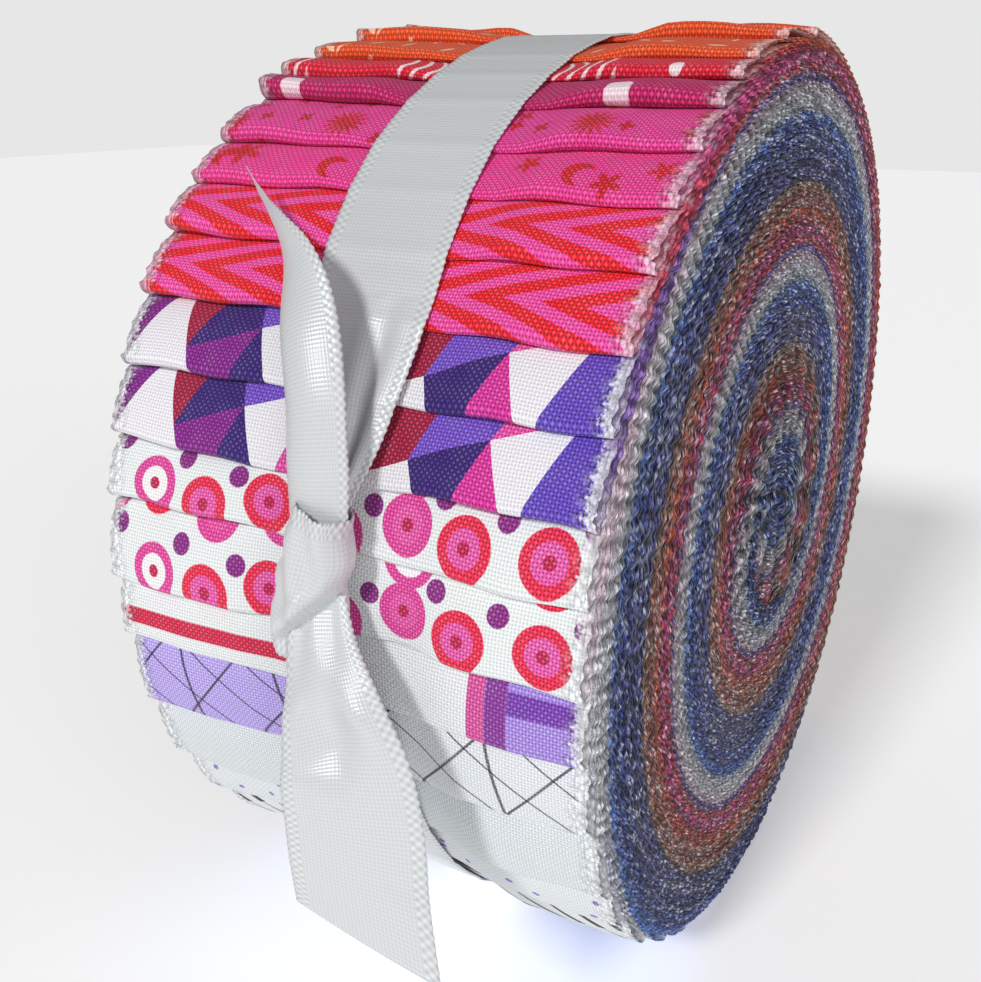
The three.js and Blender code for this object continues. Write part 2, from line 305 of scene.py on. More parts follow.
def strip_rows(winding, strip, fold_lift, band, rng):
    """The rows of points across one folded strip, along its whole length.

    The outer layer runs from its inner end to the fold, a half round takes it over, and the inner
    layer runs back. Rows are half a tooth apart, at the tips and the notches, and closer together
    near the fold. Each row has its lift, radius, share of the fold's bulge, way back from the fold,
    tooth wave from 0 at a notch to 1 at a tip, the same wave at half the pace, length along the cloth,
    side of the sheet's middle and, round the fold, how far it is over the middle.
    """
    s = winding.settings
    half = s.tooth_pitch / 2
    outer = winding.path(strip, LAYERS - 1 - 2 * strip, fold_lift)
    inner = winding.path(strip, LAYERS - 2 - 2 * strip, fold_lift)

    def at_fold(path):
        length, lift = path[:2]
        target = fold_lift + TURN * round((lift[-1] - fold_lift) / TURN)
        return np.interp(-target, -lift, length)

    rows = []

    def run(path, stations, back, bulge, wave, along, side, over):
        length, lift, radius = path[:3]
        placed = [np.interp(stations, length, lift), np.interp(stations, length, radius)]
        slow = teeth(path, stations, 0.0, 2)
        rows.append(np.stack([*placed, bulge, back, wave, slow, along, side, over], axis=1))

    def teeth(path, stations, slip, pace=1):
        middle = np.interp(stations, path[0], path[3]) + slip
        return 1 - np.abs((middle / (half * pace)) % 2 - 1)

    folds = at_fold(outer), at_fold(inner)
    loop_radius = (winding.layer + s.bulge) / 2
    for path, fold, side in ((outer, folds[0], 1), (inner, folds[1], -1)):
        slip = rng.normal(0, 0.16) + 0.05 * strip
        first = path[0][0]
        last = fold - PAST_BAND - (band if side == 1 else 0)
        low, high = np.interp([first, last], path[0], path[3]) + slip
        count = np.arange(math.ceil(low / half) + 1, math.floor(high / half) - 1)
        coarse = np.interp(count * half - slip, path[3], path[0])
        tight = np.arange(coarse[-1] + FINE_ROWS, fold - loop_radius, FINE_ROWS)
        stations = np.concatenate([[first], coarse, tight])
        back = fold - stations
        if side == 1:
            share = (1 - np.clip(back / band, 0, 1) ** 2.4) ** 0.8
        else:
            share = np.zeros(len(stations))
        wave = teeth(path, stations, slip)
        wave[1 : len(coarse) + 1] = count % 2
        along = back if side == 1 else -back
        order = slice(None) if side == 1 else slice(None, None, -1)
        sides = np.full(len(stations), side)
        run(path, stations[order], back[order], share[order], wave[order], along[order], sides, 0 * sides)
        if side == 1:
            turn = np.linspace(80, -80, 9)
            angle = np.radians(turn)
            ahead = np.cos(angle) * loop_radius
            none = 0 * turn
            wave = teeth(path, fold - loop_radius + ahead, slip)
            stations = folds[1] - loop_radius + ahead
            run(inner, stations, loop_radius - ahead, none, wave, turn * 0.01, none, np.sin(angle))
    return np.concatenate(rows)


def weld(coarse, fine):
    """Triangles between a row of few points and one of many, both from left to right: each of the many
    is joined to the nearest of the few."""
    share = np.linspace(0, len(coarse) - 1, len(fine))
    nearest = np.round(share).astype(int)
    faces = []
    for k in range(len(coarse)):
        own = np.flatnonzero(nearest == k)
        run = np.arange(own[0], own[-1]) if len(own) > 1 else np.array([], int)
        faces.append(np.stack([np.full(len(run), coarse[k]), fine[run + 1], fine[run]], axis=1))
        if k + 1 < len(coarse):
            faces.append(np.array([[coarse[k], coarse[k + 1], fine[own[-1]]]]))
            faces.append(np.array([[coarse[k + 1], fine[own[-1] + 1], fine[own[-1]]]]))
    return np.concatenate(faces)


def round_core(radius):
    """1 round the core, where the teeth of all the layers stand in ridges, and 0 outside it."""
    return 1 - smooth(radius, 14, 27)


def make_strip(winding, number, rng, materials):
    """One folded strip as a sheet with its own thickness.

    Its rows follow the winding. Across each row the edges are cut back by the tooth, and the cloth near
    the fold stands off the layer below by the fold's height, less under the ribbon and at the right
    end, with slow waves along the fold. Low layers are held up from the floor, to make the flat spot.
    """
    s = winding.settings
    degrees = STRIPS[number][0]
    fold_lift = math.radians(degrees)
    upper = STRIPS[number - 1][0] if number else STACK_END
    band = math.radians(upper - degrees) * RADIUS
    rows = strip_rows(winding, number, fold_lift, band, rng)
    lift, radius, bulge, back, wave, slow, along, side, over = rows.T
    past = PAST_BAND - s.tooth_pitch / 2
    near = (side == 0) | ((side == 1) & (back < band + past)) | ((side == -1) & (back < past))
    skew, sag, wander = rng.normal(0, 0.35), rng.normal(0, 0.3), rng.uniform(0, TURN)
    slide = rng.normal(0, 0.07)
    lifted = rng.uniform(0.8, 1.25)
    ragged = rng.normal(0, s.ragged, (len(rows), 2))

    def place(pick, across, edges):
        """Points of the picked rows at the given shares of the width; edges says which are cut edges."""
        r, h, b, w, o = (a[pick][:, None] for a in (radius, lift, back, wave, over))
        rise = bulge[pick][:, None]
        on_loop = (side[pick] == 0)[:, None]
        x = across[None, :]
        uneven = ragged[pick][:, np.where(across < 0, 0, 1)]
        # The edges are cut back by the set-back at the rim, the tooth and the ridges round the core.
        rim = smooth(r, RADIUS - 3.2, RADIUS)
        tooth = s.tooth_depth * smooth(r, 4, 24)
        comb = 0.85 * round_core(r) * (1 - slow[pick][:, None])
        reach_x = HALF_WIDTH - s.setback * rim**2
        cut = reach_x - tooth * (1 - w) - comb + uneven
        place_x = np.where(edges[None, :], np.sign(x) * cut, x * (reach_x - tooth * 0.6))
        # The fold stands up between the ribbon and the ends, most at the left.
        free = smooth(np.abs(place_x - 0.9), RIBBON_HALF_WIDTH, 15)
        flare = 1 + 0.45 * np.clip(-place_x / HALF_WIDTH, 0, 1) ** 3 - 0.5 * smooth(place_x, 20, 32)
        height = s.bulge * lifted * (0.1 + 0.9 * free) * flare
        height = height * (1 + 0.12 * np.sin(place_x * 0.33 + wander))
        loop = (winding.layer + height) / 2
        # Its line is a little askew, and wanders.
        close = np.clip(1 - b / (band * 1.1), 0, 1) ** 1.2
        shift = skew * place_x / HALF_WIDTH + sag * np.cos(place_x * 0.11 + wander)
        shift = shift + 0.18 * np.sin(place_x * 0.45 + 2 * wander)
        lift_here = h + shift * close / RADIUS
        out = r + np.where(on_loop, loop * (1 + o) * 0.999, height * rise)
        y = -out * np.cos(lift_here)
        z = out * np.sin(lift_here)
        # The flat spot: the floor holds the lower layers up, and the ribbon does so a little more.
        under = 1 - smooth(np.abs(place_x - 0.5), RIBBON_HALF_WIDTH, 10)
        floor = -AXIS_Z + 0.12 + 0.45 * under + (STACK_RADIUS - r) * 0.93
        z = np.where(z < 0, np.maximum(z, floor), z)
        # The stack's middle has slid out of the roll by 1.2 mm, and each strip by a little of its own.
        stand = 1.2 * (1 - smooth(r, 15, 22)) + slide * (1 - 0.5 * rim)
        points = np.stack([place_x + stand, y + AXIS_Y, z + AXIS_Z], axis=2)
        return points.reshape(-1, 3), (place_x + 0 * r).ravel(), (cut + 0 * place_x).ravel()

    few = np.array([-1.0, 1.0])
    many = np.concatenate([[-1], np.linspace(-0.955, 0.955, FINE_COLUMNS), [1]])
    first_near = np.flatnonzero(near)[0]
    last_near = np.flatnonzero(near)[-1]
    parts = [
        (np.arange(0, first_near), few),
        (np.arange(first_near, last_near + 1), many),
        (np.arange(last_near + 1, len(rows)), few),
    ]
    points, us, cuts, vs, waves, faces, starts = [], [], [], [], [], [], []
    total = 0
    for pick, across in parts:
        p, u, c = place(pick, across, np.abs(across) == 1)
        points.append(p)
        us.append(u)
        cuts.append(c)
        vs.append(np.repeat(along[pick], len(across)))
        core = round_core(radius[pick])
        waves.append(np.repeat(wave[pick] * (1 - core) + slow[pick] * core, len(across)))
        faces.append(grid_faces(len(pick), len(across), total))
        starts.append((total, len(pick), len(across)))
        total += len(p)
    (a0, an, aw), (b0, bn, bw), (c0, _, cw) = starts
    faces.append(weld(a0 + (an - 1) * aw + np.arange(aw), b0 + np.arange(bw))[:, ::-1])
    faces.append(weld(c0 + np.arange(cw), b0 + (bn - 1) * bw + np.arange(bw)))
    obj = mesh_object(f"strip_{number + 1:02d}", np.concatenate(points), faces, materials)
    give_uv(obj, np.concatenate(us), np.concatenate(vs))
    give_number(obj, "cut_edge", np.concatenate(cuts))
    give_number(obj, "tooth", np.concatenate(waves))
    thick = obj.modifiers.new("thickness", "SOLIDIFY")
    thick.thickness = s.cloth * MM
    thick.offset = 0
    thick.use_even_offset = False
    thick.material_offset = 1
    thick.material_offset_rim = 2
    return obj


class Field:
    """A number that varies over a surface. Arithmetic on it adds Math nodes to its material."""

    def __init__(self, tree, socket):
        self.tree = tree
        self.socket = socket

    def math(self, operation, *others, **settings):
        node = add(self.tree, "Math", [self, *others], operation=operation, **settings)
        return Field(self.tree, node.outputs[0])

    def __add__(self, other):
        return self.math("ADD", other)

    def __sub__(self, other):
        return self.math("SUBTRACT", other)

    def __mul__(self, other):
        return self.math("MULTIPLY", other)

    def __truediv__(self, other):
        return self.math("DIVIDE", other)

    def __rsub__(self, other):
        return self * -1.0 + other

    def __abs__(self):
        return self.math("ABSOLUTE")

    def clamped(self):
        return self.math("ADD", 0.0, use_clamp=True)


def feed(tree, node, inputs):
    """Gives a node's sockets their values or links, in order or by name or number."""
    pairs = inputs.items() if isinstance(inputs, dict) else enumerate(inputs)
    for key, value in pairs:
        if isinstance(value, Field):
            value = value.socket
        if isinstance(value, bpy.types.NodeSocket):
            tree.links.new(value, node.inputs[key])
        else:
            node.inputs[key].default_value = value


def add(tree, kind, inputs=(), **settings):
    """Adds a shader node with its settings and inputs."""
    node = tree.nodes.new("ShaderNode" + kind)
    for name, value in settings.items():
        setattr(node, name, value)
    feed(tree, node, inputs)
    return node


def new_material(name):
    """An empty material with a shader, and its tree and shader node."""
    material = bpy.data.materials.new(name)
    material.use_nodes = True
    tree = material.node_tree
    tree.nodes.clear()
    shader = add(tree, "BsdfPrincipled")
    add(tree, "OutputMaterial", [shader.outputs[0]])
    return material, tree, shader


def cloth_place(tree):
    """The sheet's own coordinates in millimetres: across, from the middle, and back from the fold."""
    uv = add(tree, "UVMap", uv_map="cloth")
    split = add(tree, "SeparateXYZ", [uv.outputs[0]])
    return Field(tree, split.outputs[0]), Field(tree, split.outputs[1])


def inside(distance, edge, soft=0.12):
    """1 where the distance is less than the edge and 0 beyond, on a slope as wide as soft."""
    return (distance * (-1 / soft) + (edge / soft + 0.5)).clamped()


def spaced(place, step):
    """Distance from the nearest of lines that are one step apart, and negative on one side of them."""
    return ((place / step).math("FRACT") - 0.5) * step


def blended(tree, low, high, share, kind="MIX"):
    """A colour between two, each a hex value or a socket, mixed as the kind of blend says."""
    low, high = (linear(c) if isinstance(c, str) else c for c in (low, high))
    node = add(tree, "Mix", {0: share, 6: low, 7: high}, data_type="RGBA", blend_type=kind)
    return node.outputs[2]


THREAD = 0.37  # millimetres from thread to thread, as in a cotton with 68 of them to the inch


def woven(x, y):
    """Plain weave: 1 where a thread along the strip lies on top and -1 where one across it does, as a
    product of cosines, and the pits between the threads, as a product of squared sines."""
    a, b = (x * (math.pi / THREAD)).math("COSINE"), (y * (math.pi / THREAD)).math("COSINE")
    return a * b, (1.0 - a * a) * (1.0 - b * b)


def from_axis(tree):
    """Distance from the roll's axis, in millimetres."""
    split = add(tree, "SeparateXYZ", [add(tree, "TexCoord").outputs["Object"]])
    y = Field(tree, split.outputs[1]) / MM - AXIS_Y
    z = Field(tree, split.outputs[2]) / MM - AXIS_Z
    return (y * y + z * z).math("SQRT")


def thread_ends(tree, colour, u, v, share, white):
    """Tufts of broken thread in the cells of two numbers, with a painted highlight on their tops and
    painted shade between them. Some are left white by the ink, more of them the larger the number for
    white, and some get a painted glint. Gives the colour and the height, which falls from each cell's
    middle with the distance."""
    cells = add(tree, "CombineXYZ", [u, v, 0.0]).outputs[0]
    tufts = add(tree, "TexVoronoi", {"Vector": cells, "Scale": 1.0}, voronoi_dimensions="2D")
    top = (Field(tree, tufts.outputs["Distance"]) * -2.8 + 1.6).clamped()
    parts = add(tree, "SeparateColor", [tufts.outputs["Color"]])
    random, shine = Field(tree, parts.outputs[0]), Field(tree, parts.outputs[1])
    light = Field(tree, add(tree, "RGBToBW", [colour]).outputs[0])
    colour = blended(tree, colour, "#746e7c", random * share * 0.6, "MULTIPLY")
    bare = ((white - random) * 3.0).clamped()
    colour = blended(tree, colour, "#dce0ea", bare * share * 0.6)
    # Painted highlight: the tops of the tufts that shine picks are brightened, and the brightest get a
    # painted glint.
    colour = blended(tree, colour, blended(tree, colour, colour, 1.0, "ADD"), shine * top * share * 0.9)
    colour = blended(tree, colour, "#a4a4b0", shine * shine * top * share * 0.3, "SCREEN")
    # Painted shade between the tufts, weaker on light colours.
    dark = (1.0 - top) * (light * -0.7 + 0.92) * share
    return blended(tree, colour, "#1c1624", dark, "MULTIPLY"), top


def print_cotton(name, ground, design, dye):
    """Quilting cotton, printed on one side: a matt plain weave whose crossings carry a painted highlight
    and, in patches, a painted sheen, with painted shade in the pits between the threads, and frayed white
    along its pinked edge, where broken thread ends get painted highlights and shade. Where the edge is
    wound in, the cloth next to it has the look of the cut, painted shade included."""
    material, tree, shader = new_material(name)
    x, y = cloth_place(tree)
    colour = ground
    for mask, figure in design(tree, x, y):
        colour = blended(tree, colour, figure, mask)
    over, pits = woven(x, y)
    flat = add(tree, "CombineXYZ", [x, y, 0.0]).outputs[0]
    # Noise that makes the painted sheen on the thread tops patchy.
    sheen_patches = Field(tree, add(tree, "TexNoise", {"Vector": flat, "Scale": 0.35}).outputs[0])
    light = Field(tree, add(tree, "RGBToBW", [colour]).outputs[0])
    # Painted highlight: where a thread lies on top, the colour is brightened, less on light colours.
    tops = (over * 0.5 + 0.5).math("POWER", 2.0)
    bright = blended(tree, colour, colour, 1.0, "ADD")
    colour = blended(tree, colour, bright, tops * (light * -0.6 + 0.6))
    # Painted sheen on the thread tops, in noisy patches.
    colour = blended(tree, colour, "#9c949c", tops * (sheen_patches * sheen_patches * 0.9), "SCREEN")
    # Painted shade in the pits between the threads, weaker on light colours.
    colour = blended(tree, colour, "#300c1c", pits * (light * -0.82 + 0.96), "MULTIPLY")
    away = Field(tree, add(tree, "Attribute", attribute_name="cut_edge").outputs[2]) - abs(x)
    fibre = Field(tree, add(tree, "TexNoise", {"Vector": flat, "Scale": 2.6, "Detail": 1.0}).outputs[0])
    frayed = inside(away - fibre * 2.6, -0.2, 0.6)
    colour = blended(tree, colour, pale_of(ground, 0.7), frayed * 0.75)
    wound = inside(away, 1.4, 0.3) * inside(from_axis(tree), 59.0, 0.8)
    # Thread ends near the pinked edge, with painted highlights and painted shade.
    colour, _ = thread_ends(tree, colour, y / 0.7, x / 0.5, inside(away, 1.8, 1.6) * 0.55, 0.4)
    colour = blended(tree, colour, cut_look(tree, dye, x, y)[0], wound)
    relief = {"Strength": 0.8, "Distance": 0.00012, "Height": over * 0.3 - pits * 0.7}
    feed(tree, shader, {
        "Base Color": colour, "Roughness": 0.82, "Specular IOR Level": 0.3, "Sheen Weight": 0.08,
        "Sheen Roughness": 0.5, "Normal": add(tree, "Bump", relief).outputs[0],
    })
    return material


def scattered(tree, x, y, size, jitter):
    """Offsets from one random spot in each cell of a square grid, and the cell's random number."""
    u, v = x / size, y / size
    cell = add(tree, "CombineXYZ", [u.math("FLOOR"), v.math("FLOOR"), 0.0]).outputs[0]
    noise = add(tree, "TexWhiteNoise", [cell], noise_dimensions="3D")
    random = Field(tree, noise.outputs[0])
    parts = add(tree, "SeparateColor", [noise.outputs[1]])
    dx = (u.math("FRACT") - 0.5 - (Field(tree, parts.outputs[0]) - 0.5) * jitter) * size
    dy = (v.math("FRACT") - 0.5 - (Field(tree, parts.outputs[1]) - 0.5) * jitter) * size
    return dx, dy, random


def radius_of(dx, dy):
    """Distance from the spot."""
    return (dx * dx + dy * dy).math("SQRT")


def plain(tree, x, y):
    """No figures."""
    return []


def dots_of(size, radius, figure, jitter=0.5):
    """Round dots, one at a random spot in each cell."""

    def design(tree, x, y):
        dx, dy, _ = scattered(tree, x, y, size, jitter)
        return [(inside(radius_of(dx, dy), radius), figure)]

    return design


def starred(dx, dy, size, points, turn=0.0):
    """Distance scaled so that it is under 1 inside a star with that many points: the star's radius
    swells at each point with a power of the cosine of the angle times half the number of points."""
    bearing = dy.math("ARCTAN2", dx) + turn
    lobes = abs((bearing * (points / 2)).math("COSINE"))
    return radius_of(dx, dy) / (lobes.math("POWER", 1.4) * (0.62 * size) + 0.38 * size)


def bursts(tree, x, y):
    """Dark red bursts of many rays, and small four-pointed stars between them."""
    found = []
    for place_x, place_y, size in ((17.8, 3.2, 2.6), (-13.5, 3.0, 2.6), (30.0, 5.5, 2.2), (-29.0, 2.0, 2.2)):
        burst = starred(x - place_x, y - place_y, size, 14)
        found.append((inside(burst, 1.0, 0.4), "#d0081e"))
    dx, dy, random = scattered(tree, x, y, 5.2, 0.7)
    found.append((inside(starred(dx, dy, 1.05, 4, random * 3.0), 1.0, 0.4), "#c40a28"))
    return found


def moons(tree, x, y):
    """Crescents, each a disc less a disc beside it, and five-pointed stars."""
    found = []
    for place_x, place_y in ((19.0, 3.0), (-11.6, 2.6), (-27.0, 3.2)):
        whole = inside(radius_of(x - place_x, y - place_y), 1.8)
        bite = inside(radius_of(x - place_x - 0.9, y - place_y + 0.4), 1.35)
        found.append((whole * (1.0 - bite), "#d4081c"))
    for place_x, place_y, size in ((22.4, 2.0, 1.5), (-25.0, 4.2, 2.2), (27.5, 4.4, 1.4), (12.6, 4.6, 1.3)):
        found.append((inside(starred(x - place_x, y - place_y, size * 1.15, 5, 0.3), 1.0, 0.4), "#d0081e"))
    return found


def chevron(tree, x, y):
    """Nested V's that point left: even bands of the distance across less the slope of their arms."""
    arm = spaced(y + 0.4, 8.4)
    stripe = spaced(x - abs(arm) * 3.4 + 90.0, 9.0)
    return [(inside(abs(stripe), 2.34, 0.27), "#ea1024")]


def patchwork(tree, x, y):
    """A plain patchwork of triangles: squares cut along their diagonals, each half its own colour."""
    size = 9.6
    u, v = (x * 0.94 + y * 0.34) / size, (y * 0.94 - x * 0.34) / size
    cell = add(tree, "CombineXYZ", [u.math("FLOOR"), v.math("FLOOR"), 0.0]).outputs[0]
    half = (u.math("FRACT") - v.math("FRACT")).math("GREATER_THAN", 0.0)
    split = add(tree, "SeparateXYZ", [cell])
    key = add(tree, "CombineXYZ", [split.outputs[0], split.outputs[1], half]).outputs[0]
    pick = add(tree, "TexWhiteNoise", [key], noise_dimensions="3D").outputs[0]
    ramp = add(tree, "ValToRGB", [pick])
    ramp.color_ramp.interpolation = "CONSTANT"
    stops = [
        "#341674", "#6446bc", "#eae8ee", "#84168a", "#e24fa6", "#a30d3c", "#eae8ee", "#7650c8", "#d6309a",
    ]
    elements = ramp.color_ramp.elements
    while len(elements) < len(stops):
        elements.new(1.0)
    for k, stop in enumerate(stops):
        elements[k].position = k / len(stops)
        elements[k].color = linear(stop)
    return [(1.0, ramp.outputs[0])]


def ringed_dots(tree, x, y):
    """Large ringed dots, one in each cell, and small plain ones where these leave room."""
    found = []
    cell = 8.4
    dx, dy, random = scattered(tree, x + 3.0, y + 1.5, cell, 0.35)
    away = radius_of(dx, dy)
    ring = blended(tree, "#e8274c", "#e0489c", random.math("GREATER_THAN", 0.5))
    middle = blended(tree, "#e65aa8", "#f4f0f2", random.math("GREATER_THAN", 0.66))
    found.append((inside(away, 3.1), ring))
    found.append((inside(away, 1.9), middle))
    found.append((inside(away, 0.7), "#c01a50"))
    dx, dy, _ = scattered(tree, x - 1.0, y - 2.0, cell, 0.3)
    found.append((inside(radius_of(dx, dy), 1.2) * (1.0 - inside(away, 3.3)), "#8e2a86"))
    return found


def arcs(tree, x, y):
    """Thin arcs in groups, as bands of the distance across bent by the square of the distance along, and
    a dot beside them."""
    group = spaced(x + 2.0, 21.0) - 3.5
    line = spaced(group + (y - 2.5) * (y - 2.5) * 0.16, 1.9)
    lines = inside(abs(line), 0.266, 0.19) * inside(abs(group), 3.9, 0.3)
    spot = inside(radius_of((x - 22.8) * 1.2, y - 0.8), 0.9)
    return [(lines, "#f6dfe2"), (spot, "#f7e6ea")]


def squares(tree, x, y):
    """White squares with rounded corners, where the fifth powers of both distances have a small sum."""
    dx, dy = spaced(x - 7.5, 22.0), spaced(y + 3.8, 9.0)
    away = abs(dx).math("POWER", 5.0) + abs(dy).math("POWER", 5.0)
    return [(inside(away.math("POWER", 0.2), 1.45), "#f3dfe6")]


def specks_of(figure, size, length=0.9, width=0.3):
    """Short strokes, each a long ellipse at a random spot and angle in its cell."""

    def design(tree, x, y):
        dx, dy, random = scattered(tree, x, y, size, 0.8)
        turn = random * 6.3
        c, s = turn.math("COSINE"), turn.math("SINE")
        u = (dx * c + dy * s) / length
        v = (dy * c - dx * s) / width
        return [(inside(radius_of(u, v), 1.0, 0.4), figure)]

    return design


def lines_of(figure, spacing, width, slope=0.0):
    """Thin parallel lines, as bands of the distance across plus a share of that along."""

    def design(tree, x, y):
        return [(inside(abs(spaced(x + y * slope + 90.0, spacing)), width), figure)]

    return design


def crossing(tree, x, y):
    """Thin dark lines that cross at odd angles."""
    found = [(inside(x, 4.0), "#b9a6ea")]
    for slope, spacing, start in ((1.7, 9.0, 2.0), (-0.9, 11.0, 5.0), (0.25, 14.0, 8.0)):
        line = spaced(x + y * slope + 90.0 + start, spacing)
        found.append((inside(abs(line), 0.2, 0.15) * 0.85, "#241a30"))
    return found


def check(tree, x, y):
    """Wide bars across the strip, in pink, purple and lavender, and a red one on the left."""
    found = []
    for low, high, figure in (
        (17.5, 19.5, "#d8559e"), (19.5, 22.0, "#8c3c9c"), (22.0, 30.0, "#a98ce0"),
    ):
        middle, half = (low + high) / 2, (high - low) / 2
        found.append((inside(abs(x - middle), half), figure))
    found.append((inside(abs(x - 26.0), 4.0) * inside(abs(y - 5.5), 1.2), "#7a3fb0"))
    found.append((inside(abs(y - 3.2), 1.0) * inside(x, 0.0), "#d2204a"))
    return found


def strokes(tree, x, y):
    """Bold black strokes that lean the same way, and widen with the place along them."""
    line = abs(spaced(x + y * 0.8 + 90.0, 4.2))
    taper = ((x * 0.5 - y) / 9.0).math("FRACT")
    return [(inside(line - taper * 0.7, 0.1), "#201c26")]


PRINTS = {
    "navy_dots": ("#1c2a78", dots_of(3.2, 0.35, "#c9cfe6")),
    "navy_lines": ("#222c7c", lines_of("#8f9ccc", 2.6, 0.2, 0.4)),
    "ink_stars": ("#1a2060", specks_of("#b9c2e2", 4.0, 0.7, 0.5)),
    "navy_plain": ("#2a3690", plain),
    "indigo_dots": ("#44389c", dots_of(4.5, 0.6, "#e4dcf0")),
    "violet_dots": ("#4c3a80", dots_of(4.0, 0.5, "#b8a8dc")),
    "tan_dots": ("#b08a72", dots_of(3.6, 0.5, "#f0dccb")),
    "cream_lines": ("#e6cdb8", lines_of("#8e5b9a", 7.0, 0.35, 0.9)),
    "rust_dots": ("#b8502c", dots_of(3.4, 0.45, "#f0c8a0")),
    "rust_plain": ("#a83c28", plain),
    "orange_specks": ("#e85214", specks_of("#fbd0a8", 4.5, 1.1, 0.25)),
    "red_arcs": ("#de1236", arcs),
    "magenta_squares": ("#c01064", squares),
    "pink_bursts": ("#e63a94", bursts),
    "pink_moons": ("#ec3a92", moons),
    "chevrons": ("#f24aa2", chevron),
    "patches": ("#eae8ee", patchwork),
    "ringed_dots": ("#e8ecec", ringed_dots),
    "check_bars": ("#e6e9ea", check),
    "crossing_lines": ("#e2e6ea", crossing),
    "grey_white": ("#dae0e2", plain),
    "purple_specks": ("#e0e5e7", specks_of("#8f7ad0", 5.0, 0.5, 0.4)),
    "black_strokes": ("#e2e5e7", strokes),
    "light_blue": ("#86aaf0", specks_of("#ffffff", 4.0)),
    "blue_dots": ("#3560cc", dots_of(3.4, 0.5, "#dfe8f8")),
    "blue_plain": ("#2848b0", plain),
    "blue_lines": ("#2a44a8", lines_of("#9fb4e4", 3.0, 0.25, 0.5)),
}


def reverse_cotton(name, ground, dye):
    """The unprinted side: the same weave, with the ink showing through pale."""
    return print_cotton(name, ground, plain, dye)


def pale_of(colour, share):
    """A linear colour brought towards white, by a power of the share that looks even to the eye."""
    return (*(part + (1 - part) * share**1.6 for part in colour[:3]), 1.0)


def cut_look(tree, dye, x, y):
    """Colour and height of the pinked edges inside the roll: white broken fibres with the ink's colour on
    their tops, with painted shade in the notches, deepest round the core, and the tufts' painted highlights
    and shade. The tufts are 1.1 mm along the strip and 0.55 mm across it, coarser than the real threads,
    so that they show."""
    radius = from_axis(tree)
    # Strength of the painted shade and of the tufts: full inside the roll, less at its rim.
    shaded = inside(radius, 57.0, 3.0) * 0.32 + 0.68
    tooth = Field(tree, add(tree, "Attribute", attribute_name="tooth").outputs[2])
    # Painted shade in the notches, where the teeth are deepest.
    colour = blended(tree, pale_of(dye, 0.16), "#685c6c", (tooth * -0.7 + 0.6) * shaded, "MULTIPLY")
    core = inside(radius, 20.0, 9.0)
    # More painted shade deep in the notches round the core.
    colour = blended(tree, colour, "#2c2438", core * (1.0 - tooth) * 0.85, "MULTIPLY")
    return thread_ends(tree, colour, abs(y) / 1.1, (radius + abs(x)) / 0.55, shaded, 0.36)


def cut_cotton(name, dye):
    """The cut edge of the cloth, all tufts: matt, with small highlights on their tops, partly from the light
    on their relief and partly painted, over the painted shade of the notches.
    """
    material, tree, shader = new_material(name)
    colour, top = cut_look(tree, dye, *cloth_place(tree))
    relief = {"Strength": 0.8, "Distance": 0.0004, "Height": top}
    feed(tree, shader, {
        "Base Color": colour, "Roughness": 0.55, "Specular IOR Level": 0.5,
        "Normal": add(tree, "Bump", relief).outputs[0],
    })
    return material


DYES = {  # what the cut edge shows, where that isn't the print's ground colour
    "patches": "#8a5ab8", "chevrons": "#e02858", "ringed_dots": "#e4ccd8", "check_bars": "#dcd8e0",
    "crossing_lines": "#d4d8e0", "grey_white": "#d8dade", "purple_specks": "#c8ccdc",
    "black_strokes": "#b4b8c8", "light_blue": "#4c80dc", "cream_lines": "#c08468", "tan_dots": "#b0704c",
    "navy_dots": "#34449c", "navy_lines": "#3c4ca8", "ink_stars": "#303c90", "navy_plain": "#3848ac",
}


def make_material_sets(colours):
    """Print, reverse and cut edge for each print."""
    sets = {}
    for name, (_, design) in PRINTS.items():
        ground = (*getattr(colours, name), 1.0)
        dye = linear(DYES[name]) if name in DYES else ground
        sets[name] = (
            print_cotton(f"quilting_cotton_{name}", ground, design, dye),
            reverse_cotton(f"quilting_cotton_{name}_reverse", pale_of(ground, 0.45), dye),
            cut_cotton(f"quilting_cotton_{name}_cut", dye),
        )
    return sets


class ColourSettings(bpy.types.PropertyGroup):
    """Ground colours of the prints, and the ribbon's colour"""

    __annotations__ = {
        name: tint(name.replace("_", " ").capitalize(), "Ground colour of this print", ground)
        for name, (ground, _) in PRINTS.items()
    }
    __annotations__["ribbon"] = tint("Ribbon", "Colour of the satin", "#dee1e3")


class FABRICROLL_OT_strips(bpy.types.Operator):
    """Make the forty folded strips, wound into the roll"""

    bl_idname = "fabric_roll.strips"
    bl_label = "Strips"

    def execute(self, context):
        settings = context.scene.fabric_roll
        winding = Winding(in_millimetres(settings))
        sets = make_material_sets(context.scene.fabric_colours)
        rng = np.random.default_rng(settings.seed)
        for number, (_, print_name) in enumerate(STRIPS):
            piece = make_strip(winding, number, rng, sets[print_name])
            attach(piece, "root")
            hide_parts("roll")
        return {"FINISHED"}


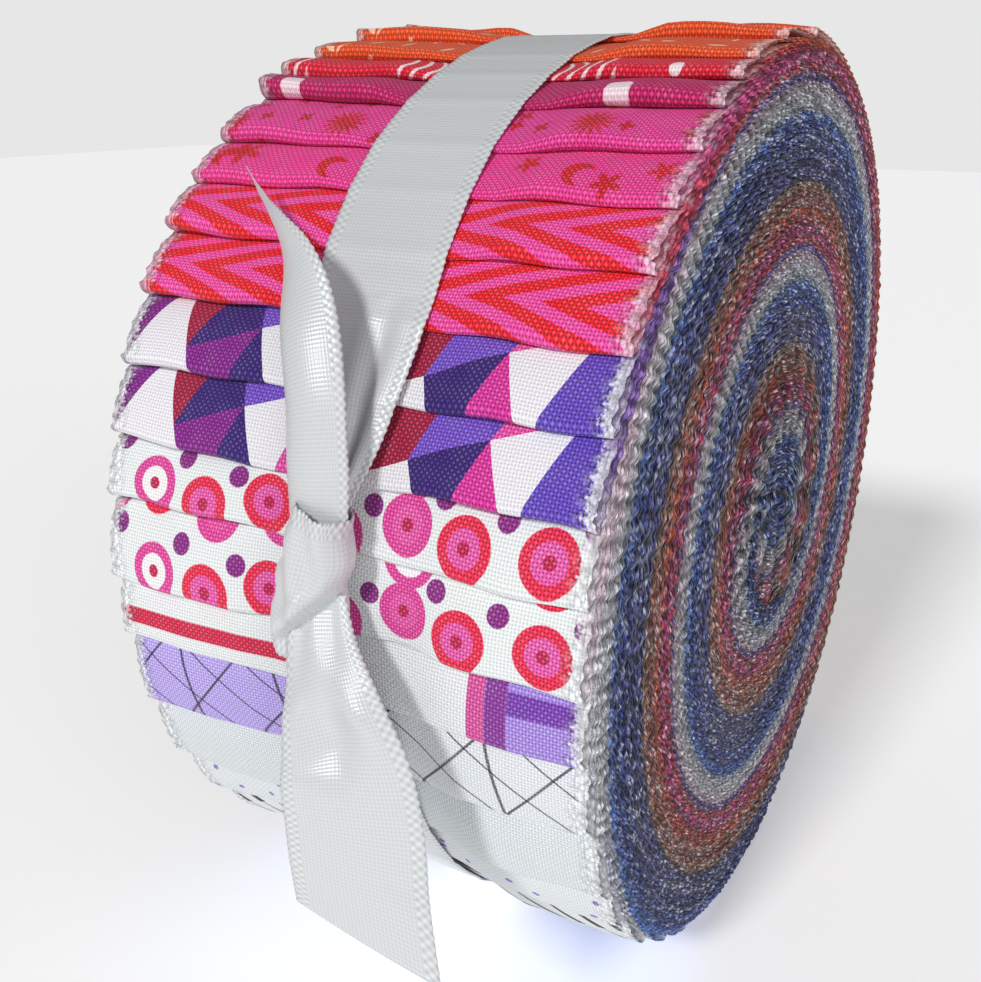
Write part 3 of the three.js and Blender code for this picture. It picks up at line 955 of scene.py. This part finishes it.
# Stations along the ribbon's upper end, from the knot to the cut tip: x, angle above the front
# horizontal, height over the rim, width, arc of its section in degrees, turn about its length.
UPPER_END = np.array([
    (1.7, 7.0, 3.2, 7.2, 60, 0),
    (1.9, 12.5, 4.3, 8.4, 90, 4),
    (1.3, 17.0, 5.0, 10.0, 115, 10),
    (0.0, 22.5, 5.5, 11.0, 120, 15),
    (-2.2, 28.0, 5.8, 10.8, 110, 25),
    (-5.1, 33.0, 5.8, 9.0, 90, 38),
    (-8.8, 37.0, 5.5, 4.8, 60, 52),
    (-12.2, 39.8, 5.2, 1.5, 30, 62),
    (-15.0, 41.9, 5.0, 1.0, 15, 70),
    (-17.8, 44.1, 4.8, 0.5, 10, 75),
])
# Along the lower end: x, height below the knot, distance in front of the axis, width, arc, turn, and
# how much further its right edge runs, which makes the slanting cut.
LOWER_END = np.array([
    (2.0, 1.0, 62.6, 6.6, 40, 0, 0),
    (3.2, 5.5, 64.6, 9.0, 50, -6, 0),
    (5.8, 10.5, 67.2, 12.0, 45, -14, 0),
    (8.3, 16.5, 68.4, 14.4, 26, -18, 0.5),
    (9.4, 23.0, 68.6, 15.0, 14, -19, 1.5),
    (10.2, 29.0, 69.2, 15.0, 10, -19, 4),
    (11.6, 35.3, 70.0, 15.0, 8, -19, 9),
])
KNOT_LIFT = math.radians(5.3)


def through(stations, place):
    """Values at places along a table of stations, on smooth curves through them (Catmull-Rom)."""
    last = len(stations) - 1
    i = np.clip(np.floor(place).astype(int), 0, last - 1)
    t = (place - i)[:, None]
    before, start, end, after = (stations[np.clip(i + k, 0, last)] for k in (-1, 0, 1, 2))
    leaving, arriving, rise = (end - before) / 2, (after - start) / 2, end - start
    bend = (3 * rise - 2 * leaving - arriving) * t**2 + (leaving + arriving - 2 * rise) * t**3
    return start + leaving * t + bend


def unit(vectors):
    """Vectors brought to length one."""
    return vectors / np.maximum(np.linalg.norm(vectors, axis=-1, keepdims=True), 1e-9)


def spread(columns):
    """Places across a ribbon from -1 to 1, closest together along its edges."""
    even = np.linspace(-1, 1, columns)
    return 0.72 * even + 0.28 * np.sin(even * math.pi / 2) ** 3


PICOT = 0.88  # millimetres from one small loop of the ribbon's edge to the next


def make_ribbon_piece(name, surface, across, material, looped=False):
    """A ribbon as a closed skin on both sides of a surface of points, rows along it and columns across.

    The skin is off the surface along its normal by 0.1 mm, and by up to 0.27 mm in the round edge
    cords, whose thickness and reach swell and shrink with the picots.
    """
    n, m = surface.shape[:2]
    if looped:
        along = np.roll(surface, -1, axis=0) - np.roll(surface, 1, axis=0)
    else:
        along = np.gradient(surface, axis=0)
    sideways = np.gradient(surface, axis=1)
    normal = unit(np.cross(sideways, along))
    step = np.linalg.norm(np.diff(surface[:, m // 2], axis=0), axis=1)
    length = np.concatenate([[0], np.cumsum(step)])
    if looped:
        whole = length[-1] + np.linalg.norm(surface[0, m // 2] - surface[-1, m // 2])
        length = length * (round(whole / PICOT) * PICOT / whole)
    beat = np.cos(TURN * length / PICOT)[:, None]
    half_width = np.linalg.norm(surface[:, -1] - surface[:, 0], axis=1)[:, None] / 2
    from_edge = (1 - np.abs(across))[None, :] * RIBBON_HALF_WIDTH
    cord = np.exp(-(((from_edge - 0.28) / 0.26) ** 2))
    inner_cord = np.exp(-(((from_edge - 1.25) / 0.22) ** 2))
    thick = 0.1 + cord * (0.08 + 0.06 * beat) - inner_cord * 0.035
    thick = np.where(from_edge < 0.05, 0.05, thick)
    taper = np.minimum(1, half_width / 1.5)
    reach = np.sign(across)[None, :] * np.exp(-from_edge / 0.4) * 0.07 * beat * taper
    middle = surface + unit(sideways) * reach[:, :, None]
    offset = normal * (thick * taper.clip(0.3))[:, :, None]
    points = np.concatenate([(middle + offset).reshape(-1, 3), (middle - offset).reshape(-1, 3)])
    row = np.arange(n) if looped else np.arange(n - 1)
    ahead = (row + 1) % n
    col = np.arange(m - 1)
    front = np.stack([
        row[:, None] * m + col, row[:, None] * m + col + 1,
        ahead[:, None] * m + col + 1, ahead[:, None] * m + col,
    ], axis=2).reshape(-1, 4)
    back = front[:, ::-1] + n * m
    rims = []
    for c, order in ((0, 1), (m - 1, -1)):
        rim = np.stack([row * m + c, ahead * m + c, ahead * m + c + n * m, row * m + c + n * m], axis=1)
        rims.append(rim[:, ::order])
    if not looped:
        for r, order in ((0, -1), (n - 1, 1)):
            start = r * m + col
            rim = np.stack([start, start + 1, start + 1 + n * m, start + n * m], axis=1)
            rims.append(rim[:, ::order])
    obj = mesh_object(name, points + [0, AXIS_Y, AXIS_Z], [front, back, *rims], [material])
    u = np.tile(np.tile(across * RIBBON_HALF_WIDTH, n), 2)
    v = np.tile(np.repeat(length, m), 2)
    give_uv(obj, u, v)
    return obj


def band_surface(winding, across):
    """The ribbon round the roll: it starts in the knot, goes up over the roll and ends in the knot from
    below. Its edges are given at some angles; where they come together the ribbon lies in pleats."""
    lifts = np.radians(np.linspace(6.0, 363.0, 1150))
    at = np.radians([6, 10, 13, 15.6, 20.7, 26.8, 32.4, 39.5, 46, 54, 70, 340, 350, 356, 363])
    right_edge = [2.8, 3.4, 4.2, 5.3, 6.6, 7.8, 8.2, 7.8, 7.6, 7.4, 8.0, 8.0, 7.0, 5.0, 3.0]
    left_edge = [-0.6, -1.0, -1.6, -2.4, -4.2, -6.0, -6.8, -7.5, -7.8, -8.1, -7.4, -7, -5.4, -3.2, -1.0]
    kernel = np.hanning(41) / np.hanning(41).sum()

    def eased(values):
        padded = np.pad(values, 20, mode="edge")
        return np.convolve(padded, kernel, mode="valid")

    right, left = (eased(np.interp(lifts, at, edge)) for edge in (right_edge, left_edge))
    width = right - left
    gather = np.clip(2 * RIBBON_HALF_WIDTH / width - 1, 0, 3)
    depth = 0.42 * np.sqrt(gather) * width / 5.5
    x = (right + left)[:, None] / 2 + across[None, :] * width[:, None] / 2
    c = across[None, :]
    pleats = np.cos(c * 7.4 + 0.9 + 0.5 * np.sin(lifts[:, None] * 9)) + 0.35 * np.cos(c * 13 - 1.1)
    folds = sum(np.exp(-(((lifts - lift % TURN) / 0.018) ** 2)) for lift in winding.rim_lifts)
    near_knot = np.minimum(lifts, TURN + math.radians(8) - lifts)
    rise = 2.4 * (1 - smooth(near_knot, math.radians(7), math.radians(22)))
    height = RADIUS - 0.4 + rise[:, None] + depth[:, None] * (pleats + 1.0) + 0.12 * folds[:, None]
    y = -height * np.cos(lifts[:, None])
    z = np.maximum(height * np.sin(lifts[:, None]), 0.32 - AXIS_Z)
    return np.stack([x + 0 * height, y, z], axis=2)


def end_surface(centres, values, across):
    """A free end of the ribbon: its section is an arc across, carried along the middle line."""
    along = unit(np.gradient(centres, axis=0))
    outward = centres * np.array([0.0, 1.0, 1.0])
    outward = unit(outward - along * np.sum(outward * along, axis=1, keepdims=True))
    right = unit(np.cross(along, outward))
    right = right * np.where(right[:, :1] < 0, -1, 1)
    width, cup, turn, skew = (column[:, None] for column in values.T)
    cup, turn = np.radians(cup), np.radians(turn)
    side = right * np.cos(turn) + outward * np.sin(turn)
    out = outward * np.cos(turn) - right * np.sin(turn)
    angle = across[None, :] / 2 * cup
    curl = width / cup
    sideways = (curl * np.sin(angle))[:, :, None] * side[:, None, :]
    upwards = (curl * (np.cos(angle) - np.cos(cup / 3)))[:, :, None] * out[:, None, :]
    run_on = (skew * across[None, :] / 2)[:, :, None] * along[:, None, :]
    return centres[:, None, :] + sideways + upwards + run_on, out


def upper_surface(across):
    """The upper end: a gutter that opens backwards and narrows, by the slanting cut, to a tip."""
    x, lift, proud, width, cup, turn = through(UPPER_END, np.linspace(0, len(UPPER_END) - 1, 150)).T
    lift = np.radians(lift)
    radius = RADIUS + proud
    centres = np.stack([x, -radius * np.cos(lift), radius * np.sin(lift)], axis=1)
    values = np.stack([np.maximum(width, 0.5), cup, turn, 0 * x], axis=1)
    surface, out = end_surface(centres, values, across)
    place = np.linspace(0, 1, 150)[:, None]
    wave = 0.25 * np.sin(place * 19 + across[None, :] * 2.0) * np.sin(place * math.pi)
    return surface + out[:, None, :] * wave[:, :, None]


def lower_surface(across):
    """The lower end: pinched in the knot, hollow below it, then flat down to the slanting cut."""
    x, drop, front, width, cup, turn, skew = through(LOWER_END, np.linspace(0, len(LOWER_END) - 1, 125)).T
    knot_z = RADIUS * math.sin(KNOT_LIFT)
    centres = np.stack([x, -front, knot_z - drop], axis=1)
    surface, out = end_surface(centres, np.stack([width, cup, turn, skew], axis=1), across)
    c = across[None, :]
    below = drop[:, None]
    hollow = -1.9 * np.exp(-(((below - 13.5) / 4.2) ** 2) - (((c + 0.1) / 0.42) ** 2))
    ridge = 0.7 * np.exp(-(((below - 9 - 5 * c) / 2.6) ** 2) - (((c - 0.55) / 0.3) ** 2))
    pinch = 0.28 * np.cos(c * 7.0 + 0.4) * (1 - smooth(below, 4, 13))
    return surface + out[:, None, :] * (hollow + ridge + pinch)[:, :, None]


def knot_surface(across):
    """The wrap round the middle of the knot: an oval tube whose ends are drawn in, with a fold where
    the ribbon tucks under itself. Rows go round it and columns down it."""
    around = np.linspace(0, TURN, 110, endpoint=False)[:, None]
    down = across[None, :]
    drawn = 1 - 0.22 * np.abs(down) ** 2.4
    lobes = 0.26 * np.cos(down * 12.2 + 0.6) * np.clip(-np.cos(around), 0, 1)
    lobes = lobes + 0.36 * np.cos(down * 8.5 - 2.2) * np.clip(np.cos(around), 0, 1)
    half_x = 3.8 * drawn + lobes
    half_y = 3.3 * drawn
    flat_x = half_x * np.cos(around)
    height = -8.6 * down
    to_fold = (flat_x - 0.4) * 0.84 + (height + 2.6) * -0.54
    across_fold = (flat_x - 0.4) * 0.54 + (height + 2.6) * 0.84
    facing = np.clip(np.sin(around + 0.35), 0, 1) ** 0.5 * np.exp(-((across_fold / 5.5) ** 6))
    tuck = facing * (0.6 * np.exp(-((to_fold + 0.5) / 0.8) ** 2) - 1.5 * smooth(to_fold, 0, 0.9))
    streaks = 0.34 * np.cos(flat_x * 1.5 + height * 0.55) * np.clip(np.sin(around), 0, 1)
    depth = half_y * np.sin(around) + tuck + streaks
    lean = math.radians(14)
    x = 1.1 + flat_x * math.cos(lean) + height * math.sin(lean)
    z = (RADIUS + 2.9) * math.sin(KNOT_LIFT) + height * math.cos(lean) - flat_x * math.sin(lean)
    y = -(RADIUS + 2.7) * math.cos(KNOT_LIFT) - depth
    return np.stack([x, y, z], axis=2)


def woven_satin(colour):
    """White polyester satin ribbon, woven with coarser edges: the threads that float across its face
    shine along themselves, and the edges show as two rows of small loops. Its colour is painted darker
    where its relief is low, a painted shade that makes the floats and loops look bright. The floats are
    drawn 0.42 mm apart, about three times as coarse as real ones, so that their grid shows."""
    material, tree, shader = new_material("polyester_satin_ribbon_woven")
    # The satin's colour in the low parts of its relief: painted shade.
    shaded_satin = tuple(part * 0.66 for part in colour[:3]) + (1.0,)
    x, y = cloth_place(tree)
    step = 0.42
    slant = ((x + y) * (math.pi / step)).math("SINE") * ((x - y) * (math.pi / step)).math("SINE")
    from_edge = RIBBON_HALF_WIDTH - abs(x)
    edge = inside(from_edge, 1.5, 0.3)
    loops = (y * (TURN / PICOT)).math("COSINE")
    loops = loops * (from_edge * (TURN / 1.3)).math("COSINE")
    height = slant * (1.0 - edge) * 0.5 + edge * loops
    tangent = add(tree, "Tangent", direction_type="UV_MAP", uv_map="cloth").outputs[0]
    relief = {"Strength": 0.4, "Distance": 0.00008, "Height": height}
    # Base colour with painted shade where the relief is low, and full colour on the floats and loops.
    feed(tree, shader, {
        "Base Color": blended(tree, shaded_satin, colour, (height * 0.5 + 0.5).clamped()), "Roughness": 0.32,
        "Specular IOR Level": 0.8, "Anisotropic": 0.6, "Sheen Weight": 0.1, "Tangent": tangent,
        "Normal": add(tree, "Bump", relief).outputs[0],
    })
    return material


class FABRICROLL_OT_ribbon(bpy.types.Operator):
    """Make the ribbon: its band round the roll, the knot and its two free ends"""

    bl_idname = "fabric_roll.ribbon"
    bl_label = "Ribbon"

    def execute(self, context):
        winding = Winding(in_millimetres(context.scene.fabric_roll))
        material = woven_satin((*context.scene.fabric_colours.ribbon, 1.0))
        across = spread(30)
        pieces = [
            make_ribbon_piece("ribbon_band", band_surface(winding, across), across, material),
            make_ribbon_piece("ribbon_knot", knot_surface(across), across, material, looped=True),
            make_ribbon_piece("ribbon_upper_end", upper_surface(across), across, material),
            make_ribbon_piece("ribbon_lower_end", lower_surface(across), across, material),
        ]
        for piece in pieces:
            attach(piece, "root")
            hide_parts("ribbon")
        return {"FINISHED"}


class FABRICROLL_OT_stage(bpy.types.Operator):
    """Make the floor, the lights and the camera"""

    bl_idname = "fabric_roll.stage"
    bl_label = "Stage"

    def execute(self, context):
        settings = context.scene.fabric_stage
        across = np.array([-1500.0, 1500.0])
        corners = np.array([(x, y, 0) for y in across for x in across])
        floor_material, tree, shader = new_material("matt_paper")
        feed(tree, shader, {
            "Base Color": (*settings.floor, 1), "Roughness": 0.9, "Emission Color": (1, 1, 1, 1),
            "Emission Strength": 0.3,
        })
        floor = mesh_object("floor", corners, [np.array([[0, 1, 3, 2]])], [floor_material])

        for name, energy, size, direction in (
            ("window", 1.8, 9, (0.06, 0.80, -0.58)), ("reflector", 0.8, 40, (-0.80, 0.50, -0.30)),
        ):
            sun = bpy.data.lights.new(name, "SUN")
            sun.energy = energy
            sun.angle = math.radians(size)
            lamp = bpy.data.objects.new(name, sun)
            lamp.rotation_euler = Vector(direction).to_track_quat("-Z", "Y").to_euler()
            context.scene.collection.objects.link(lamp)
        world = bpy.data.worlds.new("studio")
        world.use_nodes = True
        tree = world.node_tree
        seen = Field(tree, add(tree, "LightPath").outputs["Is Camera Ray"])
        feed(tree, tree.nodes["Background"], [(1, 1, 1, 1), seen * 0.58 + 0.22])
        context.scene.world = world
        context.scene.view_settings.view_transform = "Standard"

        camera = bpy.data.cameras.new("camera")
        camera.sensor_fit = "HORIZONTAL"
        camera.sensor_width = 36
        width, height, focal, centre_x, centre_y = 981, 982, 1123.5, 497.0, 487.6
        camera.lens = focal / width * 36
        camera.shift_x = (width / 2 - centre_x) / width
        camera.shift_y = (centre_y - height / 2) / width
        camera.clip_start = 0.01
        view = bpy.data.objects.new("camera", camera)
        turn = Matrix.Rotation(settings.yaw, 4, "Z") @ Matrix.Rotation(math.pi / 2 - settings.pitch, 4, "X")
        view.matrix_world = Matrix.Translation(settings.eye) @ turn
        context.scene.collection.objects.link(view)
        context.scene.camera = view
        return {"FINISHED"}


class FABRICROLL_PT_panel(bpy.types.Panel):
    """Lists the roll's pieces and sizes"""

    bl_label = "Fabric roll"
    bl_space_type = "VIEW_3D"
    bl_region_type = "UI"
    bl_category = "Fabric roll"

    def draw(self, context):
        layout = self.layout
        scene = context.scene
        for group in (scene.fabric_roll, scene.fabric_colours, scene.fabric_stage):
            for name in group.__annotations__:
                layout.prop(group, name)
        for operator in OPERATORS:
            layout.operator(operator.bl_idname)


OPERATORS = (FABRICROLL_OT_stage, FABRICROLL_OT_strips, FABRICROLL_OT_ribbon)
CLASSES = (RollSettings, ColourSettings, StageSettings, *OPERATORS, FABRICROLL_PT_panel)


def register():
    for item in CLASSES:
        bpy.utils.register_class(item)
    bpy.types.Scene.fabric_roll = bpy.props.PointerProperty(type=RollSettings)
    bpy.types.Scene.fabric_colours = bpy.props.PointerProperty(type=ColourSettings)
    bpy.types.Scene.fabric_stage = bpy.props.PointerProperty(type=StageSettings)


def unregister():
    del bpy.types.Scene.fabric_stage
    del bpy.types.Scene.fabric_colours
    del bpy.types.Scene.fabric_roll
    for item in reversed(CLASSES):
        bpy.utils.unregister_class(item)


def main():
    register()
    bpy.ops.fabric_roll.stage()
    bpy.ops.fabric_roll.strips()
    bpy.ops.fabric_roll.ribbon()


if __name__ == "__main__":
    main()
